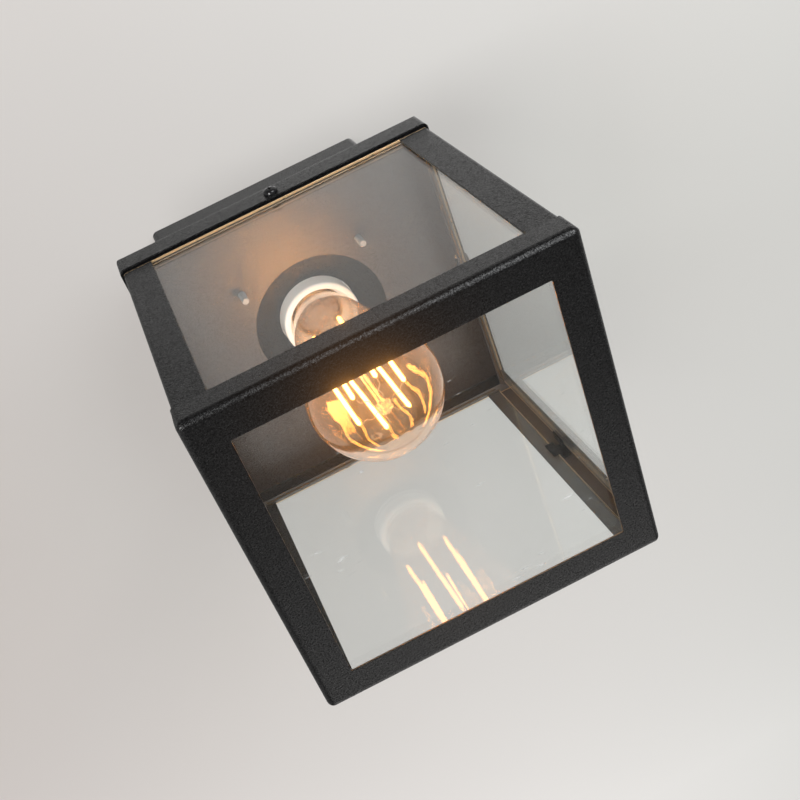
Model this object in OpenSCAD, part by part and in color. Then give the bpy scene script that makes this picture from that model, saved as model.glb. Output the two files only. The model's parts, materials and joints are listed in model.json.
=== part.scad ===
// Porch ceiling lantern: a square sheet-metal glass cage hung under a flat roof,
// with a square ceiling canopy, a recessed porcelain lampholder and a long
// teardrop filament lamp.
// Millimetres. +Z is up. The origin is the middle of the ceiling face, so the
// whole lantern hangs below z = 0.

/* [Overall] */
// Width of the bottom ring, outside to outside
body_w = 160; // [152:1:176]
// Height of the lantern body, from its bottom face to the top of the roof
body_h = 164; // [160:1:178]
// Height of the canopy box between the roof and the ceiling
canopy_h = 62; // [58:1:80]
// Width of the square canopy
canopy_w = 120; // [118:1:130]

/* [Sheet metal] */
// Thickness of the sheet in the roof, ring, rail, posts and canopy
sheet_t = 1; // [0.8:0.1:1.2]
// Height of the upright lip on the bottom ring
lip_h = 14; // [10:0.5:18]
// Width of the flat flange of the bottom ring
flange_w = 15.5; // [13:0.5:18]
// Height of the skirt that the roof turns down
skirt_h = 15.7; // [13:0.1:18]
// Outside radius of the bend between the bottom face and the lip
bend_r = 3; // [2:0.5:4]
// Width of each leg of a corner post
post_leg = 14.5; // [12:0.5:17]

/* [Glass] */
// Thickness of the glass panes
pane_t = 3; // [2.5:0.5:3]
// Width of each side pane
pane_w = 142; // [134:1:142]

/* [Lampholder] */
// Outside diameter of the porcelain lampholder
holder_d = 41; // [40:0.5:44]
// Diameter of the hole in the roof around the lampholder
roof_hole_d = 70.5; // [60:0.5:72]
// Distance between the roof screws, in X and in Y
roof_screw_pitch = 65; // [64:1:67]

/* [Lamp] */
// Largest diameter of the lamp's glass envelope
lamp_d = 64; // [60:1:66]
// Length of the lamp from its tip to its end contact
lamp_l = 141.7; // [138:0.1:145]
// Lamp thread pitch, used for the turn that releases it
lamp_pitch = 3.63; // [3.6:0.01:3.7]

/* [Fixing] */
// Distance between the two slots of the ceiling bracket
slot_pitch = 70; // [60:1:80]
// Width of each slot
slot_w = 5; // [4.5:0.1:6]
// Length of each slot from end to end
slot_l = 16; // [10:1:20]
// Bore of the cable grommet
cable_d = 8; // [6:0.5:9]

/* [Hidden] */
total_h = body_h + canopy_h;
hw = body_w / 2;
t = sheet_t;
in_h = hw - t;                      // inside of the ring lip, and outside of the posts
roof_w = body_w + 0.6;              // the skirt stands 0.3 proud of the ring on each side
z_skirt = body_h - skirt_h;         // lower edge of the skirt
z_rail = z_skirt - 2.3;             // underside of the top rail's flange
rail_top = body_h - t - 3;          // top edge of the rail, clear of the roof
rail_in = in_h - 6.2;               // inner edge of the rail's flange
z_screw = z_skirt + 5.6;            // height of the skirt screws
win = hw - flange_w;                // half of the bottom window
pane_o = in_h - t - 0.3;            // outer face of a side pane
pane_i = pane_o - pane_t;           // inner face of a side pane
pane_z0 = t + 0.3 + pane_t + 0.3;   // foot of the side panes
pane_z1 = z_rail - 0.6;             // top of the side panes
z_car = body_h + 7;                 // underside of the lamp carrier
z_mouth = body_h - 2.5;               // mouth of the lampholder
hr = holder_d / 2;
sp = roof_screw_pitch / 2;
z_contact = body_h + 31;            // tip of the lamp's end contact
z_tip = z_contact - lamp_l;         // lowest point of the lamp
lr = lamp_d / 2;
lamp_z = z_tip + lr;                // centre of the lamp's round end
z_neck = body_h + 4.6;              // where the glass enters the cap

// ---------- shared shapes ----------
// everything is drawn from the bottom face up, then hung below the ceiling
module hang() { translate([0, 0, -total_h]) children(); }

// square of width w with corners of radius r
module rsq(w, r) {
  square([w - 2 * r, w], center = true);
  square([w, w - 2 * r], center = true);
  for (sx = [-1, 1], sy = [-1, 1]) translate([sx * (w / 2 - r), sy * (w / 2 - r)]) circle(r = r, $fn = 48);
}
// side view of a tray: rounded where the wall meets the floor
module tray_side(w, h, r) {
  translate([-w / 2, r]) square([w, h - r]);
  translate([-w / 2 + r, 0]) square([w - 2 * r, h]);
  for (s = [-1, 1]) translate([s * (w / 2 - r), r]) circle(r = r, $fn = 48);
}
// block with rounded upright corners (rv) and a rounded bottom edge (rb)
module tray(w, h, rv, rb) {
  intersection() {
    linear_extrude(h) rsq(w, rv);
    rotate([90, 0, 0]) translate([0, 0, -w / 2 - 1]) linear_extrude(w + 2) tray_side(w, h, rb);
    rotate([90, 0, 90]) translate([0, 0, -w / 2 - 1]) linear_extrude(w + 2) tray_side(w, h, rb);
  }
}
module four_sides() { for (a = [0, 90, 180, 270]) rotate([0, 0, a]) children(); }
// domed cross-recess screw head, seated on z = 0 and rising along +Z
module dome_head(r, h) {
  difference() {
    rotate_extrude($fn = 48) polygon([[0, 0], [r, 0], [r, h * 0.35], [r * 0.9, h * 0.66], [r * 0.66, h * 0.88], [r * 0.35, h * 0.98], [0, h]]);
    for (a = [0, 90]) rotate([0, 0, a]) translate([-r * 0.52, -r * 0.11, h * 0.45]) cube([r * 1.04, r * 0.22, h]);
  }
}
module pan_screw(rs, len, rh, hh) {
  dome_head(rh, hh);
  translate([0, 0, -len]) cylinder(r = rs, h = len + 0.01, $fn = 32);
}
// tube swept along a list of points
function unit(v) = v / norm(v);
function seg(p, i) = unit(p[min(i + 1, len(p) - 1)] - p[max(i - 1, 0)]);
function ring_pts(c, d, r, n, up = [1, 0, 0]) =
  let (u = unit(cross(d, up)), v = cross(d, u)) [for (k = [0:n - 1]) c + r * (cos(360 * k / n) * u + sin(360 * k / n) * v)];
function cr(p0, p1, p2, p3, s) = 0.5 * ((2 * p1) + (p2 - p0) * s + (2 * p0 - 5 * p1 + 4 * p2 - p3) * s * s + (3 * p1 - p0 - 3 * p2 + p3) * s * s * s);
function smooth(p, m) = [for (i = [0:len(p) - 2], k = [0:m - 1])
    cr(p[max(i - 1, 0)], p[i], p[i + 1], p[min(i + 2, len(p) - 1)], k / m), p[len(p) - 1]];
module tube(p, r, n = 8, up = [1, 0, 0]) {
  q = [for (i = [0:len(p) - 1]) each ring_pts(p[i], seg(p, i), r, n, up)];
  m = len(p);
  polyhedron(points = q, faces = concat(
    [[for (k = [0:n - 1]) k]],
    [for (i = [0:m - 2], k = [0:n - 1]) [i * n + k, (i + 1) * n + k, (i + 1) * n + (k + 1) % n, i * n + (k + 1) % n]],
    [[for (k = [n - 1:-1:0]) (m - 1) * n + k]]), convexity = 6);
}
module rod(a, b, r) {
  d = b - a; l = norm(d);
  translate(a) rotate([0, acos(d[2] / l), atan2(d[1], d[0])]) cylinder(r = r, h = l, $fn = 16);
}

// ---------- ceiling side ----------
module ceiling_bracket() color([0.72, 0.73, 0.74]) hang() {
  x1 = canopy_w / 2 - t - 0.3;
  difference() {
    union() {
      translate([-x1, -11, total_h - 2]) cube([2 * x1, 22, 2]);
      for (s = [-1, 1]) translate([s > 0 ? x1 - 2 : -x1, -11, total_h - 16]) cube([2, 22, 15]);
    }
    for (s = [-1, 1]) translate([s * slot_pitch / 2, 0, total_h - 3]) {
      for (k = [-1, 1]) translate([k * (slot_l - slot_w) / 2, 0, 0]) cylinder(r = slot_w / 2, h = 4, $fn = 32);
      translate([-(slot_l - slot_w) / 2, -slot_w / 2, 0]) cube([slot_l - slot_w, slot_w, 4]);
    }
    translate([0, 0, total_h - 3]) cylinder(r = 6.5, h = 4, $fn = 48);
    for (s = [-1, 1]) translate([s * (x1 - 3), 0, total_h - 10]) rotate([0, 90 * s, 0]) cylinder(r = 1.95, h = 4, $fn = 32);
  }
}
module cable_grommet() color([0.08, 0.08, 0.08]) hang() translate([0, 0, total_h])
  rotate_extrude($fn = 48) polygon([[cable_d / 2, 0], [6.45, 0], [6.45, -2.05], [9, -2.05], [9, -3.6], [8.2, -4.5], [cable_d / 2, -4.5]]);

module canopy() color([0.16, 0.16, 0.165]) hang() {
  difference() {
    translate([0, 0, body_h]) tray(canopy_w, canopy_h, 3, 2);
    translate([0, 0, body_h + t]) tray(canopy_w - 2 * t, canopy_h, 2, 1);
    translate([0, 0, body_h - 1]) cylinder(r = 38, h = 3, $fn = 96);
    for (sx = [-1, 1], sy = [-1, 1]) translate([sx * sp, sy * sp, body_h - 1]) cylinder(r = 2.1, h = 3, $fn = 32);
    for (s = [-1, 1]) translate([s * (canopy_w / 2 + 1), 0, total_h - 10]) rotate([0, -90 * s, 0]) cylinder(r = 2.1, h = 3, $fn = 32);
    translate([32, 50, body_h - 1]) cylinder(r = 1.95, h = 3, $fn = 32);
  }
}
module canopy_side_screws() color([0.05, 0.05, 0.05]) hang()
  for (s = [-1, 1]) translate([s * canopy_w / 2, 0, total_h - 10]) rotate([0, 90 * s, 0]) pan_screw(1.9, 6, 3.8, 2.3);

module roof_cap() color([0.16, 0.16, 0.165]) hang() {
  difference() {
    translate([0, 0, body_h]) mirror([0, 0, 1]) tray(roof_w, skirt_h, 2.8, bend_r);
    translate([0, 0, body_h - t]) mirror([0, 0, 1]) tray(roof_w - 2 * t, skirt_h, 1.8, bend_r - t);
    translate([0, 0, body_h - 3]) cylinder(r = roof_hole_d / 2, h = 5, $fn = 96);
    for (sx = [-1, 1], sy = [-1, 1]) translate([sx * sp, sy * sp, body_h - 3]) cylinder(r = 2.02, h = 5, $fn = 32);
    four_sides() translate([0, -roof_w / 2 - 1, z_screw]) rotate([-90, 0, 0]) cylinder(r = 1.8, h = 3, $fn = 32);
  }
}
// raised pan that closes the roof hole from above and carries the lampholder
module lamp_carrier() color([0.2, 0.2, 0.2]) hang() {
  difference() {
    union() {
      rotate_extrude($fn = 96) polygon([[hr + 0.3, z_car], [39.5, z_car], [39.5, body_h + t], [41, body_h + t], [41, z_car + 0.7], [40.2, z_car + 1.5], [hr + 0.3, z_car + 1.5]]);
      difference() {
        for (a = [45, 135, 225, 315]) rotate([0, 0, a]) translate([39, -6, body_h + t]) cube([13, 12, 1.5]);
        translate([0, 0, body_h]) cylinder(r = 39.6, h = 6, $fn = 96);
      }
    }
    for (sx = [-1, 1], sy = [-1, 1]) translate([sx * sp, sy * sp, body_h]) cylinder(r = 2.1, h = 4, $fn = 32);
  }
}
module roof_screws() color([0.78, 0.77, 0.74]) hang()
  for (sx = [-1, 1], sy = [-1, 1]) translate([sx * sp, sy * sp, body_h + t + 1.5]) pan_screw(2, t + 1.5 + t + 8.6, 3.8, 2.4);
module skirt_screws() color([0.03, 0.03, 0.03]) hang()
  four_sides() translate([0, -roof_w / 2, z_screw]) rotate([90, 0, 0]) pan_screw(1.75, 6.8, 3.5, 2.4);
module skirt_nuts() color([0.78, 0.77, 0.74]) hang()
  four_sides() translate([0, -in_h + t + 0.4, z_screw]) rotate([-90, 0, 0]) difference() {
    cylinder(r = 4.04, h = 3.2, $fn = 6);
    translate([0, 0, -1]) cylinder(r = 1.8, h = 6, $fn = 32);
  }

// ---------- lampholder ----------
module lampholder_body() color([0.93, 0.93, 0.91]) hang() {
  difference() {
    union() {
      rotate_extrude($fn = 96) polygon([
        [hr - 2.6, z_mouth], [hr - 1.5, z_mouth], [hr - 0.5, z_mouth + 0.4], [hr, z_mouth + 1.4], [hr, body_h + 36.4], [hr - 0.6, body_h + 37], [0, body_h + 37],
        [0, body_h + 32.6], [14.2, body_h + 32.6], [14.2, body_h + 6.5], [hr - 3.4, body_h + 4.5], [hr - 3.4, z_mouth + 0.8]]);
      difference() {
        for (s = [-1, 1]) translate([s * 27.5, 0, z_car + 1.5]) {
          cylinder(r = 6.5, h = 5, $fn = 48);
          translate([s > 0 ? -8 : 0, -6.5, 0]) cube([8, 13, 5]);
        }
        translate([0, 0, body_h]) cylinder(r = hr - 1, h = 30, $fn = 96);
      }
    }
    for (s = [-1, 1]) translate([s * 27.5, 0, z_car]) cylinder(r = 2.2, h = 10, $fn = 32);
    // passages for the two terminals
    for (s = [-1, 1]) translate([s * 9, 0, body_h + 30]) cylinder(r = 1.6, h = 10, $fn = 32);
    translate([0, 0, body_h + 30]) cylinder(r = 1.6, h = 10, $fn = 32);
  }
}
module holder_studs() color([0.75, 0.75, 0.74]) hang()
  for (s = [-1, 1]) translate([s * 27.5, 0, z_car + 1.5]) cylinder(r = 2, h = 11, $fn = 32);
module holder_nuts() color([0.78, 0.77, 0.74]) hang()
  for (s = [-1, 1]) translate([s * 27.5, 0, z_car + 6.5]) difference() {
    union() { cylinder(r = 4.5, h = 0.8, $fn = 32); translate([0, 0, 0.8]) cylinder(r = 4.04, h = 3.2, $fn = 6); }
    translate([0, 0, -1]) cylinder(r = 2.05, h = 6, $fn = 32);
  }
module threaded_shell() color([0.8, 0.66, 0.34]) hang() {
  rotate_extrude($fn = 64) polygon([[13.3, body_h + 8], [14.1, body_h + 8], [14.1, body_h + 32.5], [10, body_h + 32.5], [10, body_h + 32.1], [13.3, body_h + 32.1]]);
  translate([9, 0, body_h + 32.5]) mirror([1, 0, 0]) translate([0, 0, -0.2]) cylinder(r = 1.5, h = 4.6, $fn = 24);
}
module centre_contact() color([0.82, 0.7, 0.4]) hang() {
  translate([0, 0, z_contact + 0.3]) cylinder(r = 4, h = 0.5, $fn = 32);
  translate([0, 0, z_contact + 0.6]) cylinder(r = 1.5, h = body_h + 37 - z_contact - 0.6, $fn = 24);
}
module holder_terminals() color([0.8, 0.68, 0.4]) hang() {
  for (s = [-1, 1]) translate([s * 9, 0, body_h + 37.05]) {
    difference() {
      translate([-3.5, -4.5, 0]) cube([7, 9, 6]);
      translate([0, 5, 3.4]) rotate([90, 0, 0]) cylinder(r = 1.4, h = 6, $fn = 24);
      translate([0, -2.4, 3]) cylinder(r = 1.45, h = 4, $fn = 24);
    }
    translate([0, -2.4, 3.2]) cylinder(r = 1.4, h = 4.4, $fn = 24);
  }
  // strap from the middle contact to its terminal
  translate([-5.6, -1.5, body_h + 37.05]) cube([7.2, 3, 0.6]);
}
module terminal_block() color([0.9, 0.9, 0.88]) hang() difference() {
  union() {
    for (x = [-10, 0, 10]) translate([x - 4.4, 44, body_h + t]) cube([8.8, 13, 13.5]);
    translate([-14.4, 45.5, body_h + t]) cube([28.8, 10, 9.5]);
  }
  for (x = [-10, 0, 10]) {
    translate([x, 58, body_h + 9]) rotate([90, 0, 0]) cylinder(r = 2.4, h = 16, $fn = 32);
    for (y = [47.2, 53.8]) translate([x, y, body_h + 9]) cylinder(r = 1.7, h = 8, $fn = 24);
  }
}
module terminal_inserts() color([0.8, 0.68, 0.4]) hang()
  for (x = [-10, 0, 10]) difference() {
    translate([x, 56.2, body_h + 9]) rotate([90, 0, 0]) cylinder(r = 2.35, h = 11.4, $fn = 32);
    translate([x, 57, body_h + 9]) rotate([90, 0, 0]) cylinder(r = 1.5, h = 13, $fn = 24);
    for (y = [47.2, 53.8]) translate([x, y, body_h + 9]) cylinder(r = 1.3, h = 4, $fn = 24);
  }
module terminal_screws() color([0.78, 0.77, 0.74]) hang()
  for (x = [-10, 0, 10], y = [47.2, 53.8]) translate([x, y, body_h + 10.25]) difference() {
    cylinder(r = 1.25, h = 3.4, $fn = 24);
    translate([-1.5, -0.25, 2.7]) cube([3, 0.5, 1]);
  }
module lead_live() color([0.4, 0.22, 0.12]) hang()
  tube(smooth([[-10, 48.5, body_h + 9], [-10, 43, body_h + 9.1], [-10, 38.5, body_h + 11.5], [-10, 34, body_h + 19],
    [-10, 30, body_h + 31], [-9.6, 22, body_h + 39.2], [-9, 12, body_h + 40.4], [-9, 1.6, body_h + 40.45]], 4), 1.2);
module lead_neutral() color([0.15, 0.3, 0.6]) hang()
  tube(smooth([[0, 48.5, body_h + 9], [0, 43, body_h + 9.1], [1, 38.5, body_h + 11.5], [3, 33.5, body_h + 19],
    [6, 29.5, body_h + 31], [8.6, 22, body_h + 39.2], [9, 12, body_h + 40.4], [9, 1.6, body_h + 40.45]], 4), 1.2);
module lead_earth() color([0.45, 0.65, 0.2]) hang()
  tube(smooth([[10, 48.5, body_h + 9], [10, 43.5, body_h + 9.1], [11.5, 41, body_h + 12], [16, 38.5, body_h + 15],
    [22, 39.5, body_h + 13], [27, 43, body_h + 7], [29.4, 45.2, body_h + 3.4]], 4), 1.2, 8, [0, 0, 1]);
module earth_stud() color([0.75, 0.75, 0.74]) hang() translate([32, 50, body_h + 0.2]) cylinder(r = 1.9, h = 10, $fn = 32);
module earth_nut() color([0.78, 0.77, 0.74]) hang() translate([32, 50, body_h + t]) difference() {
  union() {
    cylinder(r = 4.4, h = 1, $fn = 32);
    rotate([0, 0, -118]) translate([2, -1.6, 0]) cube([5.6, 3.2, 1]);
    translate([0, 0, 1]) cylinder(r = 4.04, h = 3.2, $fn = 6);
  }
  translate([0, 0, -1]) cylinder(r = 1.98, h = 6, $fn = 32);
}

// ---------- glass cage ----------
module top_rail() color([0.16, 0.16, 0.165]) hang() difference() {
  union() {
    translate([0, 0, z_rail]) linear_extrude(rail_top - z_rail) difference() { rsq(2 * in_h, 1.8); rsq(2 * in_h - 2 * t, 0.8); }
    translate([0, 0, z_rail]) linear_extrude(t) difference() { rsq(2 * in_h, 1.8); square(2 * rail_in, center = true); }
  }
  // slots open at the top, so that the cage passes the skirt screws
  four_sides() translate([0, -in_h - 2, z_screw]) rotate([-90, 0, 0]) cylinder(r = 2.1, h = 5, $fn = 32);
  four_sides() translate([-2.1, -in_h - 2, z_screw]) cube([4.2, 5, 30]);
}
module post() hang() translate([0, 0, bend_r]) linear_extrude(z_rail - bend_r) {
  translate([in_h - post_leg, in_h - t]) square([post_leg - 1.8, t]);
  translate([in_h - t, in_h - post_leg]) square([t, post_leg - 1.8]);
  translate([in_h - 1.8, in_h - 1.8]) intersection() {
    difference() { circle(r = 1.8, $fn = 48); circle(r = 1.8 - t, $fn = 48); }
    square(3);
  }
}
module post_back_right() color([0.16, 0.16, 0.165]) post();
module post_back_left() color([0.16, 0.16, 0.165]) rotate([0, 0, 90]) post();
module post_front_left() color([0.16, 0.16, 0.165]) rotate([0, 0, 180]) post();
module post_front_right() color([0.16, 0.16, 0.165]) rotate([0, 0, 270]) post();
module bottom_ring() color([0.13, 0.13, 0.135]) hang() difference() {
  tray(body_w, lip_h, 2.5, bend_r);
  translate([0, 0, t]) tray(body_w - 2 * t, lip_h, 1.5, bend_r - t);
  translate([-win, -win, -1]) cube([2 * win, 2 * win, 5]);
}
module side_pane() translate([-pane_w / 2, -pane_o, pane_z0]) cube([pane_w, pane_t, pane_z1 - pane_z0]);
module pane_front() color([0.75, 0.82, 0.8, 0.3]) hang() side_pane();
module pane_right() color([0.75, 0.82, 0.8, 0.3]) hang() rotate([0, 0, 90]) side_pane();
module pane_back() color([0.75, 0.82, 0.8, 0.3]) hang() rotate([0, 0, 180]) side_pane();
module pane_left() color([0.75, 0.82, 0.8, 0.3]) hang() rotate([0, 0, 270]) side_pane();
module pane_bottom() color([0.75, 0.82, 0.8, 0.3]) hang() translate([-76.5 / 80 * hw, -76.5 / 80 * hw, t + 0.3]) cube([153 / 80 * hw, 153 / 80 * hw, pane_t]);
// bent tab that holds one edge of a pane against its post
module clip() hang() translate([0, 0, body_h * 0.488]) {
  xe = pane_w / 2 + 0.3;
  difference() {
    translate([xe - 3.5, -pane_o - 0.3, -5]) cube([in_h - t - 0.9 - xe + 3.2, pane_t + 1.3, 10]);
    translate([xe - 5, -pane_o - 1, -6]) cube([5, pane_t + 1.2, 12]);
    translate([xe + 1, -pane_o + 0.7, -6]) cube([12, pane_t + 3, 12]);
  }
}
module pane_clips() color([0.1, 0.1, 0.1]) four_sides() { clip(); mirror([1, 0, 0]) clip(); }
module sealant_top() color([0.85, 0.86, 0.85, 0.5]) hang()
  four_sides() translate([-pane_w / 2 + 1, -pane_i + 0.05, z_rail - 0.95]) cube([pane_w - 2, 0.9, 0.9]);
module sealant_bottom() color([0.85, 0.86, 0.85, 0.5]) hang()
  four_sides() translate([-pane_w / 2 + 1, -pane_i + 0.05, pane_z0 - 0.25]) cube([pane_w - 2, 0.8, 0.8]);

// ---------- lamp ----------
function bez(a, b, c, d, s) = pow(1 - s, 3) * a + 3 * pow(1 - s, 2) * s * b + 3 * (1 - s) * s * s * c + s * s * s * d;
function lamp_side(off) = concat(
  [for (a = [-90:6:20]) [max(0, (lr - off) * cos(a)), lamp_z + (lr - off) * sin(a)]],
  [for (k = [1:14]) let (p = bez([lr * cos(20), lamp_z + lr * sin(20)], [lr * 0.705, lamp_z + 32], [21.3, z_neck - 12], [12.4, z_neck], k / 14)) [p[0] - off, p[1]]]);
module lamp_glass() color([0.9, 0.75, 0.5, 0.25]) hang() rotate_extrude($fn = 72) polygon(concat(
  lamp_side(0), [[12.2, z_neck + 3.4], [11.4, z_neck + 3.4]],
  [for (i = [len(lamp_side(0.8)) - 1:-1:0]) lamp_side(0.8)[i]]));
module lamp_cap() color([0.8, 0.68, 0.42]) hang() rotate_extrude($fn = 64) polygon([
  [12.5, z_neck + 0.1], [13, z_neck + 0.1], [13, z_contact - 8.6], [11.6, z_contact - 6.4], [11.2, z_contact - 6.6], [12.5, z_contact - 8.8]]);
module lamp_insulator() color([0.05, 0.05, 0.06]) hang() rotate_extrude($fn = 64) polygon([
  [0, z_contact - 7.6], [10.4, z_contact - 7.6], [11.15, z_contact - 6.55], [5, z_contact - 1.6], [0, z_contact - 1.6]]);
module lamp_end_contact() color([0.75, 0.76, 0.77]) hang() rotate_extrude($fn = 48) polygon([
  [0, z_contact - 1.6], [4.8, z_contact - 1.6], [4.6, z_contact - 0.8], [3, z_contact - 0.15], [0, z_contact]]);
module lamp_stem() color([0.9, 0.85, 0.75, 0.4]) hang() {
  rotate_extrude($fn = 48) polygon([
    [0, lamp_z - 17], [2.6, lamp_z - 16.5], [3.8, lamp_z - 15.4], [4.1, lamp_z - 14.2], [3.6, lamp_z - 12.9], [2.2, lamp_z - 12.1], [1.6, lamp_z - 11.2], [1.6, lamp_z + 48],
    [2.8, lamp_z + 51], [3.7, lamp_z + 56], [4.3, z_neck - 14], [5.6, z_neck - 7], [8.4, z_neck - 1.4], [10.9, z_neck + 1.8], [10.4, z_neck + 3],
    [7.2, z_neck], [3.6, z_neck - 5.4], [0, z_neck - 7]]);
}
// six bright strands stand round the stem, between two rings of wires
n_f = 6;
f_top = lamp_z + 45.8; f_bot = lamp_z - 11.4;
r_top = 15.1; r_bot = 14;
function f_pt(i, top) = let (a = 60 * i + (top ? 44.8 : 38)) top ? [r_top * cos(a), r_top * sin(a), f_top] : [r_bot * cos(a), r_bot * sin(a), f_bot];
module lamp_lead_wires() color([0.7, 0.7, 0.7]) hang()
  for (i = [0, 3]) let (q = f_pt(i, true)) rod([0.19 * q[0], 0.19 * q[1], lamp_z + 56], q + [0, 0, 0.9], 0.35);
module lamp_supports() color([0.7, 0.7, 0.7]) hang() {
  for (i = [0:n_f - 1]) {
    p = f_pt(i, false);
    rod([3.2 * p[0] / r_bot, 3.2 * p[1] / r_bot, lamp_z - 14.2], p - [0, 0, 0.9], 0.25);
  }
  for (i = [1, 2, 4, 5]) {
    q = f_pt(i, true);
    rod([1.2 * q[0] / r_top, 1.2 * q[1] / r_top, f_top - 2], q + [0, 0, 0.9], 0.25);
  }
}
module lamp_filament() color([1, 0.75, 0.3]) hang()
  for (i = [0:n_f - 1]) rod(f_pt(i, true), f_pt(i, false), 1.05);

ceiling_bracket();
cable_grommet();
canopy();
canopy_side_screws();
roof_cap();
lamp_carrier();
roof_screws();
skirt_screws();
skirt_nuts();
lampholder_body();
holder_studs();
holder_nuts();
threaded_shell();
centre_contact();
holder_terminals();
terminal_block();
terminal_inserts();
terminal_screws();
lead_live();
lead_neutral();
lead_earth();
earth_stud();
earth_nut();
top_rail();
post_front_left();
post_front_right();
post_back_left();
post_back_right();
bottom_ring();
pane_front();
pane_back();
pane_left();
pane_right();
pane_bottom();
pane_clips();
sealant_top();
sealant_bottom();
lamp_glass();
lamp_cap();
lamp_insulator();
lamp_end_contact();
lamp_stem();
lamp_lead_wires();
lamp_supports();
lamp_filament();
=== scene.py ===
import json
import math
import random
import bpy
import bmesh
import numpy as np
from mathutils import Matrix, Vector, noise

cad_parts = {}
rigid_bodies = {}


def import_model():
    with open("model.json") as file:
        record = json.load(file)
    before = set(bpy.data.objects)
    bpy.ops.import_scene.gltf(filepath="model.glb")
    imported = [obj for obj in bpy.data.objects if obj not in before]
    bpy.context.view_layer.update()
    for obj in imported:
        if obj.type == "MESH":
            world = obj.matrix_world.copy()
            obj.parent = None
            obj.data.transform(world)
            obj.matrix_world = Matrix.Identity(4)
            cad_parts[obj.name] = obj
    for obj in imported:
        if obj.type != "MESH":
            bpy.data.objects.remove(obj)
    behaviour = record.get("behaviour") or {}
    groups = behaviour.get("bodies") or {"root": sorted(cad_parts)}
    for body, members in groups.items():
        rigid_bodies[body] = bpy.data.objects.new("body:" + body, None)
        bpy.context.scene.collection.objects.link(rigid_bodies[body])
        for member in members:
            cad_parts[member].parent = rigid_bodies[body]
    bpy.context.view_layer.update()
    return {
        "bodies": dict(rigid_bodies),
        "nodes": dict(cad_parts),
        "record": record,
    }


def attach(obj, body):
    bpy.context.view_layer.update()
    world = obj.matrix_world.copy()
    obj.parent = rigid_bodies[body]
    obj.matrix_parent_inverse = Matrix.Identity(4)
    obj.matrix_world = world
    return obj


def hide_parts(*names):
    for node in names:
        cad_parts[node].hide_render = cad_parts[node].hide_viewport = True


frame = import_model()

random.seed(11)
SC = bpy.context.scene
NODES = frame["nodes"]
BODY_OF = {n: b for b, ns in frame["record"]["behaviour"]["bodies"].items() for n in ns}
SLOT_OF = {s["node"]: s["material_slot"] for s in frame["record"]["subparts"]}
TOP = 226.0          # height of the ceiling face above the lantern's bottom face, in mm


def V(p):
    """A point in mm, measured up from the bottom face, in the row frame."""
    return (p[0] * 0.001, p[1] * 0.001, (p[2] - TOP) * 0.001)


# ------------------------------------------------------------------ materials
MATS = {}


class Mat:
    def __init__(self, name):
        self.m = bpy.data.materials.new(name)
        self.m.use_nodes = True
        self.t = self.m.node_tree
        self.t.nodes.clear()
        self.out = self.t.nodes.new("ShaderNodeOutputMaterial")
        MATS[name] = self.m

    def n(self, kind, **kw):
        node = self.t.nodes.new(kind)
        for k, v in kw.items():
            setattr(node, k, v)
        return node

    def link(self, a, b):
        self.t.links.new(a, b)

    def coords(self):
        return self.n("ShaderNodeTexCoord").outputs["Object"]

    def noise(self, scale, detail=3.0, rough=0.55, distortion=0.0, vec=None):
        x = self.n("ShaderNodeTexNoise")
        x.inputs["Scale"].default_value = scale
        x.inputs["Detail"].default_value = detail
        x.inputs["Roughness"].default_value = rough
        x.inputs["Distortion"].default_value = distortion
        self.link(vec or self.coords(), x.inputs["Vector"])
        return x.outputs["Fac"]

    def voronoi(self, scale, vec=None, feature="F1"):
        x = self.n("ShaderNodeTexVoronoi")
        x.feature = feature
        x.inputs["Scale"].default_value = scale
        self.link(vec or self.coords(), x.inputs["Vector"])
        return x.outputs["Distance"]

    def remap(self, v, a, b, c, d):
        x = self.n("ShaderNodeMapRange")
        x.inputs["From Min"].default_value = a
        x.inputs["From Max"].default_value = b
        x.inputs["To Min"].default_value = c
        x.inputs["To Max"].default_value = d
        self.link(v, x.inputs["Value"])
        return x.outputs["Result"]

    def mixcol(self, fac, a, b):
        x = self.n("ShaderNodeMix", data_type="RGBA")
        for i, c in ((6, a), (7, b)):
            if hasattr(c, "node"):
                self.link(c, x.inputs[i])
            else:
                x.inputs[i].default_value = (*c, 1)
        if hasattr(fac, "node"):
            self.link(fac, x.inputs[0])
        else:
            x.inputs[0].default_value = fac
        return x.outputs[2]

    def math(self, op, a, b=None):
        x = self.n("ShaderNodeMath", operation=op)
        for i, c in enumerate((a, b)):
            if c is None:
                continue
            if hasattr(c, "node"):
                self.link(c, x.inputs[i])
            else:
                x.inputs[i].default_value = c
        return x.outputs[0]

    def bump(self, h, strength, dist, normal=None):
        x = self.n("ShaderNodeBump")
        x.inputs["Strength"].default_value = strength
        x.inputs["Distance"].default_value = dist
        self.link(h, x.inputs["Height"])
        if normal:
            self.link(normal, x.inputs["Normal"])
        return x.outputs["Normal"]

    def principled(self, **kw):
        x = self.n("ShaderNodeBsdfPrincipled")
        for k, v in kw.items():
            k = k.replace("_", " ")
            sock = x.inputs[k]
            if hasattr(v, "node"):
                self.link(v, sock)
            elif isinstance(v, tuple):
                sock.default_value = (*v, 1) if len(v) == 3 and sock.type == "RGBA" else v
            else:
                sock.default_value = v
        return x

    def done(self, shader):
        self.link(shader.outputs[0] if hasattr(shader, "outputs") else shader, self.out.inputs["Surface"])
        return self.m


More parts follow.
